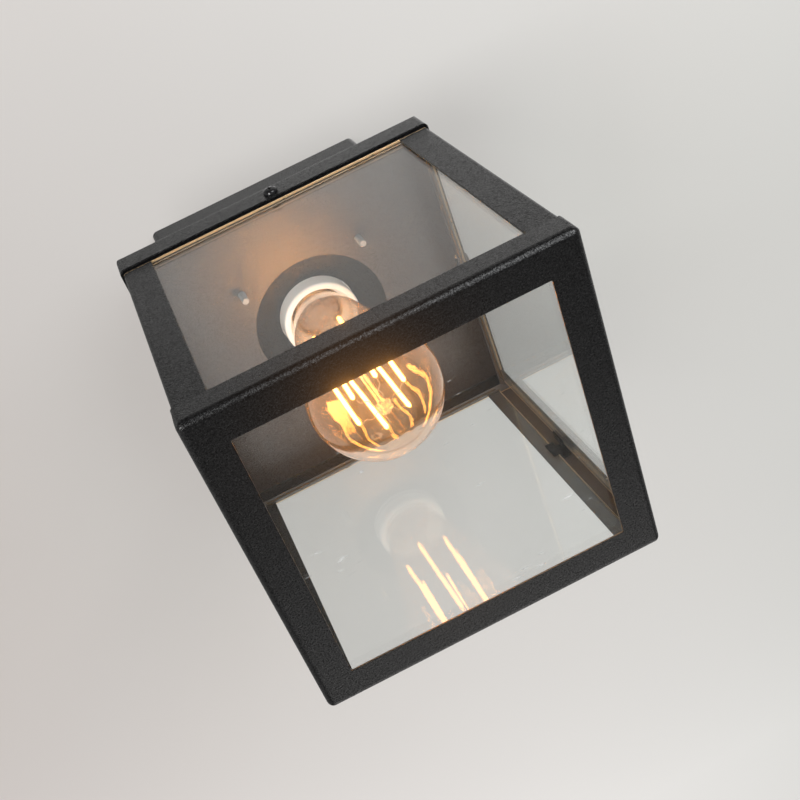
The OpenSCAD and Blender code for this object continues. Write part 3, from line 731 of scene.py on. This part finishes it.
hv, hf = cross_head(3.75, 2.35, 1.98, 12.05, 0.7)
parts = []
for i, (sx, sy) in enumerate(((-1, -1), (1, -1), (-1, 1), (1, 1))):
    R = Matrix.Rotation(0.6 + 1.3 * i, 4, "Z")
    parts.append(([tuple((R @ Vector(v)) + Vector((sx * 32.5, sy * 32.5, 166.55))) for v in hv], hf))
v, f = join_data(parts)
add("roof_screws_v", raw(v, f), "roof_screws", "fixture", ("roof_screws",), sharp=42)

# ------------------------------------------------------------------ lampholder
H = 41.0 / 2


def arc(cx, cz, r, a0, a1, n):
    return [(cx + r * math.cos(math.radians(a0 + (a1 - a0) * i / n)), cz + r * math.sin(math.radians(a0 + (a1 - a0) * i / n))) for i in range(n + 1)]


mouth = 161.5
outer = arc(H - 2.6, mouth + 0.8, 0.8, -180, -90, 8) + arc(H - 1.6, mouth + 1.6, 1.6, -90, 0, 12)                      # round lip of the mouth
prof = outer + [(H, 166), (H, 180), (H, 199.2)] + arc(H - 1.2, 199.8, 1.2, 0, 90, 6) + [(12, 201), (1.62, 201), (1.62, 198.4), (12, 198.4), (13.4, 198.4)] + \
    arc(13.6, 197.8, 0.6, 90, 0, 3) + [(14.25, 180), (14.25, 171.3), (14.6, 170.7), (16.6, 169.0), (17.1, 168.2), (H - 3.4, 164)]
body = lathe_mesh(prof, 128, closed=True)
ears = []
for s in (-1, 1):
    n = 24
    pts = []
    for i in range(n + 1):
        a = -math.pi / 2 + math.pi * i / n
        pts.append((s * (27.5 + 6.4 * math.cos(a)), 6.4 * math.sin(a)))
    pts += [(s * 20.2, 6.4), (s * 20.2, -6.4)]
    vs = [(x, y, 172.6) for x, y in pts] + [(x, y, 177.4) for x, y in pts]
    m_ = len(pts)
    fs = [tuple(range(m_)), tuple(range(2 * m_ - 1, m_ - 1, -1))] + [(i, i + m_, (i + 1) % m_ + m_, (i + 1) % m_) for i in range(m_)]
    me = raw(vs, fs)
    bm = bmesh.new()
    bm.from_mesh(me)
    bmesh.ops.recalc_face_normals(bm, faces=bm.faces)
    es = [e for e in bm.edges if len(e.link_faces) == 2 and e.calc_face_angle(0) > 1.0]
    bmesh.ops.bevel(bm, geom=es, offset=0.0006, segments=3, profile=0.5, affect="EDGES", clamp_overlap=True)
    bm.to_mesh(me)
    bm.free()
    hole = lathe_mesh([(0, 170), (2.2, 170), (2.2, 180), (0, 180)], 32)
    for v in hole.vertices:
        v.co.x += s * 0.0275
    me = cut(me, [hole])
    ears.append(([(v.co.x * 1000, v.co.y * 1000, v.co.z * 1000 + TOP) for v in me.vertices], [tuple(p.vertices) for p in me.polygons]))
bd = ([(v.co.x * 1000, v.co.y * 1000, v.co.z * 1000 + TOP) for v in body.vertices], [tuple(p.vertices) for p in body.polygons])
v, f = join_data([bd] + ears)
add("lampholder_body_v", raw(v, f), "lampholder_body", "fixture", ("lampholder_body",), sharp=42)


def rolled(r_mid, amp, pitch, z0, z1, seg, step, phase=0.0):
    """Points of a rolled round thread: radius follows a wave that climbs one pitch per turn."""
    n = int((z1 - z0) / step)
    rows = []
    for i in range(n + 1):
        z = z0 + (z1 - z0) * i / n
        fade = min(1.0, min(i, n - i) / 5.0)
        rows.append([(r_mid + amp * fade * math.sin(2 * math.pi * (z / pitch + k / seg + phase)), 2 * math.pi * k / seg, z) for k in range(seg)])
    return rows


def skin(rows_out, rows_in, seg):
    """Closed shell between an outer and an inner set of rings."""
    rows = rows_out + rows_in[::-1]
    verts = [(r * math.cos(a), r * math.sin(a), z) for row in rows for r, a, z in row]
    n = len(rows)
    faces = []
    for i in range(n):
        j = (i + 1) % n
        for k in range(seg):
            k2 = (k + 1) % seg
            faces.append((i * seg + k, i * seg + k2, j * seg + k2, j * seg + k))
    return verts, faces


def ring_row(r, z, seg):
    return [(r, 2 * math.pi * k / seg, z) for k in range(seg)]


SEG = 96
so = rolled(13.82, 0.22, 3.63, 172.3, 196.0, SEG, 0.33, 0.5)
si = rolled(13.55, 0.22, 3.63, 172.3, 196.0, SEG, 0.33, 0.5)
so = [ring_row(14.05, 172.0, SEG)] + so + [ring_row(14.0, 196.5, SEG), ring_row(10.1, 196.5, SEG)]
si = [ring_row(13.8, 172.0, SEG)] + si + [ring_row(13.5, 196.12, SEG), ring_row(10.1, 196.12, SEG)]
v1, f1 = skin(so, si, SEG)
post = lathe_mesh([(0, 196.45), (1.48, 196.45), (1.48, 200.9), (0, 200.9)], 24)
for q in post.vertices:
    q.co.x += 0.009
v2, f2 = [(q.co.x * 1000, q.co.y * 1000, q.co.z * 1000 + TOP) for q in post.vertices], [tuple(p.vertices) for p in post.polygons]
v, f = join_data([(v1, f1), (v2, f2)])
add("threaded_shell_v", raw(v, f), "threaded_shell", "fixture", ("threaded_shell",), sharp=50)

# ------------------------------------------------------------------ leads
leads = {
    "lead_live": [(-10, 48.5, 173), (-10, 43, 173.1), (-10, 38.5, 175.5), (-10, 34, 183), (-10, 30, 195), (-9.6, 22, 203.2), (-9, 12, 204.4), (-9, 4.4, 204.45)],
    "lead_neutral": [(0, 48.5, 173), (0, 43, 173.1), (1, 38.5, 175.5), (3, 33.5, 183), (6, 29.5, 195), (8.6, 22, 203.2), (9, 12, 204.4), (9, 4.4, 204.45)],
    "lead_earth": [(10, 48.5, 173), (10, 43.5, 173.1), (11.5, 41, 176), (16, 38.5, 179), (22, 39.5, 177), (27, 43, 171), (29.2, 45.0, 167.7)],
}
for n, pth in leads.items():
    v, f = tube_data(smooth_path(pth, 8), 1.18, 20)
    add(n + "_v", raw(v, f), n, "fixture", (n,), sharp=60)

# ------------------------------------------------------------------ lamp
LZ, LR, TIP = 85.3, 32.0, 53.3
NECK = 168.6


def bez(a, b, c, d, s):
    return tuple((1 - s) ** 3 * a[i] + 3 * (1 - s) ** 2 * s * b[i] + 3 * (1 - s) * s * s * c[i] + s ** 3 * d[i] for i in (0, 1))


c20, s20 = math.cos(math.radians(20)), math.sin(math.radians(20))
side_out = [(LR * math.cos(math.radians(a)), LZ + LR * math.sin(math.radians(a))) for a in np.arange(-90, 20.01, 3.0)]
side_out[0] = (0.0, TIP)
side_out += [bez((LR * c20, LZ + LR * s20), (LR * 0.705, LZ + 32), (21.3, NECK - 12), (12.4, NECK), k / 40) for k in range(1, 41)]
side_out += [(12.3, 170.2), (12.2, 172.0)]


def inward(pr, th):
    out = []
    for i, (r, z) in enumerate(pr):
        a, b = pr[max(i - 1, 0)], pr[min(i + 1, len(pr) - 1)]
        dr, dz = b[0] - a[0], b[1] - a[1]
        l = math.hypot(dr, dz)
        out.append((max(0.0, r - th * dz / l), z + th * dr / l))
    out[0] = (0.0, pr[0][1] + th)
    return out


side_in = inward(side_out, 0.75)
prof = side_out + side_in[::-1]
add("lamp_glass_v", lathe_mesh(prof, 144, closed=False), "lamp_glass", "lamp", ("lamp_glass",), sharp=70)

co = rolled(12.6, 0.36, 3.63, 171.0, 186.2, SEG, 0.33)
ci = rolled(12.3, 0.36, 3.63, 171.0, 186.2, SEG, 0.33)
co = [ring_row(12.62, 168.75, SEG), ring_row(12.72, 169.2, SEG), ring_row(12.72, 170.4, SEG)] + co + [ring_row(12.2, 187.2, SEG), ring_row(11.6, 188.5, SEG)]
ci = [ring_row(12.45, 168.75, SEG), ring_row(12.42, 169.2, SEG), ring_row(12.42, 170.4, SEG)] + ci + [ring_row(11.9, 187.1, SEG), ring_row(11.3, 188.3, SEG)]
v, f = skin(co, ci, SEG)
add("lamp_cap_v", raw(v, f), "lamp_cap", "lamp", ("lamp_cap",), sharp=60)
add("lamp_insulator_v", lathe_mesh([(0, 187.5), (10.35, 187.5), (11.0, 188.2), (11.1, 188.55), (10.2, 189.4), (8.6, 190.8), (6.8, 192.2), (5.2, 193.2), (4.85, 193.35), (0, 193.35)], 72),
    "lamp_insulator", "lamp_foot", ("lamp_insulator",), sharp=45)


def blob(r, z, a):
    k = 1 + 0.05 * math.sin(3 * a + 1) + 0.03 * math.sin(5 * a)
    return r * k, z


add("lamp_end_contact_v", lathe_mesh([(0, 193.42), (4.2, 193.42), (4.45, 193.7), (4.3, 194.1), (3.4, 194.5), (2.0, 194.78), (0.9, 194.9), (0, 194.93)], 48, fn=blob),
    "lamp_end_contact", "lamp_foot", ("lamp_end_contact",), sharp=60)


def petals(r, z, a):
    """The pressed end of the rod is a lobed button."""
    k = max(0.0, 1 - abs(z - 71.0) / 2.6)
    return r * (1 - 0.16 * k * (0.5 + 0.5 * math.cos(6 * a + 0.6))), z


stem = [(0, 68.4), (1.5, 68.5), (2.8, 68.9), (3.7, 69.7), (4.05, 70.7), (3.95, 71.6), (3.3, 72.5), (2.4, 73.1), (1.9, 73.7), (1.62, 74.6), (1.55, 78), (1.55, 100), (1.55, 130),
        (1.8, 133.4), (2.7, 136), (3.4, 139), (3.6, 143), (3.8, 148), (4.1, 153), (4.7, 158), (5.6, 162), (6.8, 165), (8.4, 167.4), (10.2, 169.4), (10.9, 170.6), (10.7, 171.6),
        (10.0, 171.3), (7.6, 168.6), (5.4, 165.6), (3.6, 162.4), (2.2, 160.8), (0, 160.2)]
add("lamp_stem_v", lathe_mesh(stem, 72, fn=petals), "lamp_stem", "lamp", ("lamp_stem",), sharp=60, mat="stem_upper")

N_F, ZT, ZB, RT, RB = 6, 131.1, 73.9, 15.1, 14.0


def f_pt(i, top):
    a = math.radians(60 * i + (44.8 if top else 38.0))
    return Vector((RT * math.cos(a), RT * math.sin(a), ZT)) if top else Vector((RB * math.cos(a), RB * math.sin(a), ZB))


parts, tips = [], []
for i in range(N_F):
    a, b = f_pt(i, False), f_pt(i, True)
    n = 60
    pts = [a.lerp(b, k / n) for k in range(n + 1)]
    rad = [1.05 * min(1.0, math.sqrt(max(0.02, min(k, n - k) / 2.0))) for k in range(n + 1)]
    parts.append(tube_data(pts, rad, 16))
v, f = join_data(parts)
add("lamp_filament_v", raw(v, f), "lamp_filament", "lamp", ("lamp_filament",), sharp=80)


def wiggle(a, b, amp, seed, n=26, curl=2.0, sag=0.0):
    a, b = Vector(a), Vector(b)
    d = (b - a).normalized()
    u = d.cross(Vector((0.2, 0.1, 1))).normalized()
    w = d.cross(u)
    out = []
    for k in range(n + 1):
        s = k / n
        e = math.sin(math.pi * s)
        ph = seed + curl * 2 * math.pi * s
        out.append(a.lerp(b, s) + u * amp * e * math.cos(ph) + w * amp * e * math.sin(ph) + Vector((0, 0, -sag * e)))
    return out


parts = []
for i in range(N_F):
    p = f_pt(i, False)
    c = Vector((3.3 * p.x / RB, 3.3 * p.y / RB, 71.0))
    parts.append(tube_data(wiggle(c, p + Vector((0, 0, -0.2)), 0.9, i * 1.7, curl=1.2 + 0.15 * i, sag=0.6), 0.17, 8))
    if i in (1, 2, 4, 5):
        q = f_pt(i, True)
        d = Vector((1.3 * q.x / RT, 1.3 * q.y / RT, ZT - 2.0))
        parts.append(tube_data(wiggle(d, q + Vector((0, 0, 0.3)), 0.7, i * 2.1, curl=1.1), 0.17, 8))
v, f = join_data(parts)
add("lamp_supports_v", raw(v, f), "lamp_supports", "lamp", ("lamp_supports",), sharp=80)
parts = []
for i in (0, 3):
    q = f_pt(i, True)
    parts.append(tube_data(smooth_path([(0.19 * q.x, 0.19 * q.y, 141.3), (0.35 * q.x, 0.35 * q.y, 139.2), (0.8 * q.x, 0.8 * q.y, 134.2), (q.x, q.y, ZT + 0.5)], 6), 0.26, 10))
v, f = join_data(parts)
add("lamp_lead_wires_v", raw(v, f), "lamp_lead_wires", "lamp", ("lamp_lead_wires",), sharp=80)

# ------------------------------------------------------------------ stage, light, camera
bm = bmesh.new()
bmesh.ops.create_circle(bm, cap_ends=True, segments=96, radius=14.0)
me = bpy.data.meshes.new("floor_mesh")
bm.to_mesh(me)
bm.free()
floor = bpy.data.objects.new("floor", me)
SC.collection.objects.link(floor)
floor.location = (0, 0, -1.25)
me.materials.append(MATS["pale_floor"])
floor.visible_diffuse = False
floor.visible_glossy = False
floor.visible_shadow = False
me = bpy.data.meshes.new("ceiling_mesh")
me.from_pydata([(-9, -9, 0), (-9, 9, 0), (9, 9, 0), (9, -9, 0)], [], [(0, 1, 2, 3)])      # faces down
ceiling = bpy.data.objects.new("ceiling", me)
SC.collection.objects.link(ceiling)
ceiling.location = (0, 0, 0.0004)
me.materials.append(MATS["pale_ceiling"])
ceiling.visible_diffuse = False
ceiling.visible_glossy = False
ceiling.visible_shadow = False

world = bpy.data.worlds.new("studio")
SC.world = world
world.use_nodes = True
nt = world.node_tree
nt.nodes.clear()
wo = nt.nodes.new("ShaderNodeOutputWorld")
bg = nt.nodes.new("ShaderNodeBackground")
tc = nt.nodes.new("ShaderNodeTexCoord")
sx = nt.nodes.new("ShaderNodeSeparateXYZ")
nt.links.new(tc.outputs["Generated"], sx.inputs[0])
ramp = nt.nodes.new("ShaderNodeValToRGB")
wm = nt.nodes.new("ShaderNodeMapRange")
wm.inputs["From Min"].default_value = -1.0
wm.inputs["From Max"].default_value = 1.0
nt.links.new(sx.outputs["Z"], wm.inputs["Value"])
nt.links.new(wm.outputs["Result"], ramp.inputs["Fac"])
STOPS = [(0.0, 0.065), (0.20, 0.06), (0.50, 0.06), (0.62, 0.10), (0.72, 0.31), (0.90, 0.40), (0.94, 0.43), (0.97, 0.56), (1.0, 0.74)]
el = ramp.color_ramp.elements
el[0].position, el[1].position = STOPS[0][0], STOPS[-1][0]
for pos, _ in STOPS[1:-1]:
    el.new(pos)
for e, (pos, v) in zip(sorted(el, key=lambda e: e.position), STOPS):
    e.color = (v * 1.01, v, v * 0.985, 1)
nt.links.new(ramp.outputs["Color"], bg.inputs["Color"])
lean = nt.nodes.new("ShaderNodeMapRange")          # the studio is brighter towards +X
for k, q in (("From Min", -0.5), ("From Max", 0.6), ("To Min", 0.34), ("To Max", 1.66)):
    lean.inputs[k].default_value = q
nt.links.new(sx.outputs["X"], lean.inputs["Value"])
lean2 = nt.nodes.new("ShaderNodeMapRange")
for k, q in (("From Min", 0.06), ("From Max", 0.30), ("To Min", 1.0), ("To Max", 1.28)):
    lean2.inputs[k].default_value = q
nt.links.new(sx.outputs["X"], lean2.inputs["Value"])
both = nt.nodes.new("ShaderNodeMath")
both.operation = "MULTIPLY"
nt.links.new(lean.outputs["Result"], both.inputs[0])
nt.links.new(lean2.outputs["Result"], both.inputs[1])
nt.links.new(both.outputs[0], bg.inputs["Strength"])
walls = nt.nodes.new("ShaderNodeBackground")
walls.inputs["Color"].default_value = (1.0, 0.99, 0.98, 1)
wl, wr, wsum, wadd = nt.nodes.new("ShaderNodeMapRange"), nt.nodes.new("ShaderNodeMapRange"), nt.nodes.new("ShaderNodeMath"), nt.nodes.new("ShaderNodeAddShader")
for node, lim in ((wl, (-0.25, -0.85, 0.0, 0.37)), (wr, (0.45, 0.95, 0.0, 0.22))):
    for k, q in zip(("From Min", "From Max", "To Min", "To Max"), lim):
        node.inputs[k].default_value = q
    nt.links.new(sx.outputs["X"], node.inputs["Value"])
nt.links.new(wl.outputs["Result"], wsum.inputs[0])
nt.links.new(wr.outputs["Result"], wsum.inputs[1])
nt.links.new(wsum.outputs[0], walls.inputs["Strength"])
nt.links.new(bg.outputs[0], wadd.inputs[0])
nt.links.new(walls.outputs[0], wadd.inputs[1])
nt.links.new(wadd.outputs[0], wo.inputs["Surface"])


def area(name, loc, target, size, power, col=(1, 1, 1), shape="RECTANGLE", size_y=None):
    L = bpy.data.lights.new(name, "AREA")
    L.shape = shape
    L.size = size
    L.size_y = size_y or size
    L.energy = power
    L.color = col
    ob = bpy.data.objects.new(name, L)
    SC.collection.objects.link(ob)
    ob.location = loc
    ob.rotation_euler = (Vector(target) - Vector(loc)).to_track_quat("-Z", "Y").to_euler()
    ob.visible_camera = False
    return ob


key = area("key", (1.60, -2.20, -2.7), (0, 0, -0.1), 2.2, 84.0, col=(0.97, 0.985, 1.0))
fill = area("fill", (0.2, 1.95, -0.95), (0, 0, -0.08), 1.5, 9.0, col=(1.0, 0.98, 0.96))
fill.visible_transmission = False             # it stands behind the panes in a front view

side_box = area("side_box", (-1.90, -0.78, -2.65), (0, 0, -0.1), 1.5, 80.0, col=(1.0, 0.988, 0.972))

glow = bpy.data.lights.new("lamp_glow", "POINT")
glow.energy = 0.08
glow.color = (1.0, 0.60, 0.36)
glow.shadow_soft_size = 0.012
go = bpy.data.objects.new("lamp_glow", glow)
SC.collection.objects.link(go)
go.location = V((0, 0, 104))
go.parent = frame["bodies"]["lamp"]
go.visible_camera = False
go.visible_glossy = False
go.visible_transmission = False

cam_d = bpy.data.cameras.new("camera")
cam_d.sensor_width = 36.0
cam_d.lens = 48.40
cam_d.shift_x = 0.12365
cam_d.shift_y = -0.0125
cam_d.clip_start = 0.01
cam_d.clip_end = 60
cam = bpy.data.objects.new("camera", cam_d)
SC.collection.objects.link(cam)
right = Vector((0.8942995, 0.3566168, -0.2702829))
down = Vector((-0.4451369, 0.7705962, -0.4561081))
fwd = Vector((0.0456232, 0.5282102, 0.8478871))
R = Matrix((right, -down, -fwd)).transposed().to_4x4()
cam.matrix_world = Matrix.Translation((-0.051689, -0.271046, -0.547832)) @ R
SC.camera = cam

SC.view_settings.view_transform = "Standard"
SC.view_settings.look = "None"
cy = SC.cycles
cy.max_bounces = 20
cy.transmission_bounces = 16
cy.glossy_bounces = 8
cy.diffuse_bounces = 4
cy.transparent_max_bounces = 24
cy.caustics_reflective = False
cy.caustics_refractive = False
cy.sample_clamp_indirect = 8.0

SC.use_nodes = True
ct = SC.node_tree
ct.nodes.clear()
rl = ct.nodes.new("CompositorNodeRLayers")
gl = ct.nodes.new("CompositorNodeGlare")
co_ = ct.nodes.new("CompositorNodeComposite")
gl.glare_type = "BLOOM"
gl.quality = "HIGH"
for k, q in (("Threshold", 1.2), ("Strength", 0.36), ("Size", 0.22), ("Smoothness", 0.1), ("Maximum", 12.0)):
    if k in gl.inputs:
        gl.inputs[k].default_value = q
ct.links.new(rl.outputs["Image"], gl.inputs["Image"])
ct.links.new(gl.outputs["Image"], co_.inputs["Image"])
